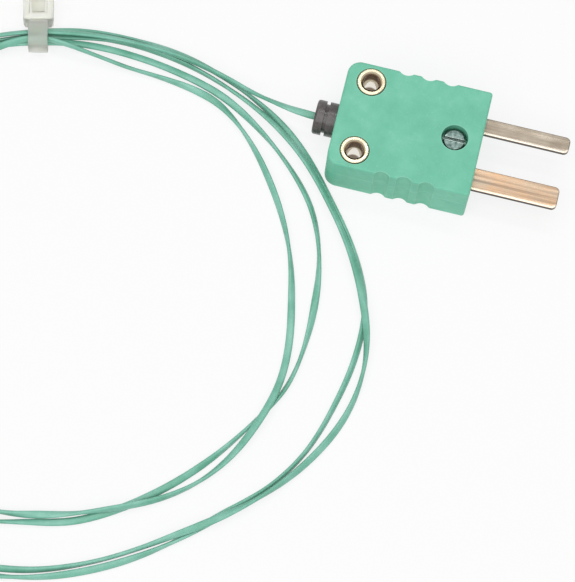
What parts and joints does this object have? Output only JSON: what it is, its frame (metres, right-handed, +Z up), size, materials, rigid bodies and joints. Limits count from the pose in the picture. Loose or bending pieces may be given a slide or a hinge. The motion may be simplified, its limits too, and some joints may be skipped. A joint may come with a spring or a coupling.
{
  "type": "thermocouple",
  "caption": "Type K thermocouple: flat-pin miniature plug with screwed cover, rubber grommet, and a thin green twin lead in a tied coil with a welded tip.",
  "frame": {"origin": "middle of the plug's length and width, on the table that the plug and coil lie on", "axes": "+X from the grommet towards the blade tips, +Z up through the cover, +Y towards the positive blade"},
  "size_m": [0.1098, 0.0851, 0.0082],
  "materials": {
    "green_nylon": "glass-filled nylon, moulded, faintly mottled satin",
    "nickel_chromium": "nickel-chromium alloy, satin",
    "nickel_aluminium": "nickel-aluminium alloy, satin, warmer",
    "brass": "plain brass, lightly tarnished",
    "steel": "zinc-plated steel",
    "black_rubber": "moulded black rubber",
    "green_sheath": "thin green fluoropolymer sheath",
    "green_core": "green fluoropolymer insulation",
    "white_core": "white fluoropolymer insulation",
    "clear_nylon": "natural nylon, translucent"
  },
  "bodies": {
    "base": {"plug_base": "green_nylon", "positive_blade": "nickel_chromium", "negative_blade": "nickel_aluminium", "positive_terminal_nut": "brass", "negative_terminal_nut": "brass", "cover_insert": "brass", "clamp_bush_left": "brass", "clamp_bush_right": "brass", "cable_grommet": "black_rubber", "inner_sheath": "green_sheath", "positive_core": "green_core", "negative_core": "white_core", "positive_conductor": "nickel_chromium", "negative_conductor": "nickel_aluminium", "lead_tail": "green_sheath", "lead_coil": "green_sheath", "lead_end": "green_sheath", "coil_tie": "clear_nylon", "tip_positive_core": "green_core", "tip_negative_core": "white_core", "tip_positive_wire": "nickel_chromium", "tip_negative_wire": "nickel_aluminium", "junction_bead": "nickel_chromium"},
    "cover": {"plug_cover": "green_nylon"},
    "cover_fastener": {"cover_screw": "steel"},
    "positive_washer": {"positive_clamp_washer": "steel"},
    "positive_screw": {"positive_terminal_screw": "steel"},
    "negative_washer": {"negative_clamp_washer": "steel"},
    "negative_screw": {"negative_terminal_screw": "steel"}
  },
  "joints": [
    {"name": "cover_lift", "type": "slide", "parent": "base", "child": "cover", "axis": [0, 0, 1], "range_m": [0, 0.012]},
    {"name": "cover_screw_turn", "type": "hinge", "parent": "cover", "child": "cover_fastener", "pos_m": [0.00185, 0, 0.006], "axis": [0, 0, 1], "continuous": true},
    {"name": "positive_clamp_open", "type": "slide", "parent": "base", "child": "positive_washer", "axis": [0, 0, 1], "range_m": [0, 0.0006]},
    {"name": "positive_screw_turn", "type": "hinge", "parent": "positive_washer", "child": "positive_screw", "pos_m": [-0.00245, 0.00396, 0.0055], "axis": [0, 0, 1], "range_deg": [0, 540]},
    {"name": "negative_clamp_open", "type": "slide", "parent": "base", "child": "negative_washer", "axis": [0, 0, 1], "range_m": [0, 0.0006]},
    {"name": "negative_screw_turn", "type": "hinge", "parent": "negative_washer", "child": "negative_screw", "pos_m": [-0.00245, -0.00396, 0.0055], "axis": [0, 0, 1], "range_deg": [0, 540]}
  ],
  "couplings": [
    {"joint": "positive_screw_turn", "follows": "positive_clamp_open", "rad_per_m": 15708},
    {"joint": "negative_screw_turn", "follows": "negative_clamp_open", "rad_per_m": 15708}
  ]
}
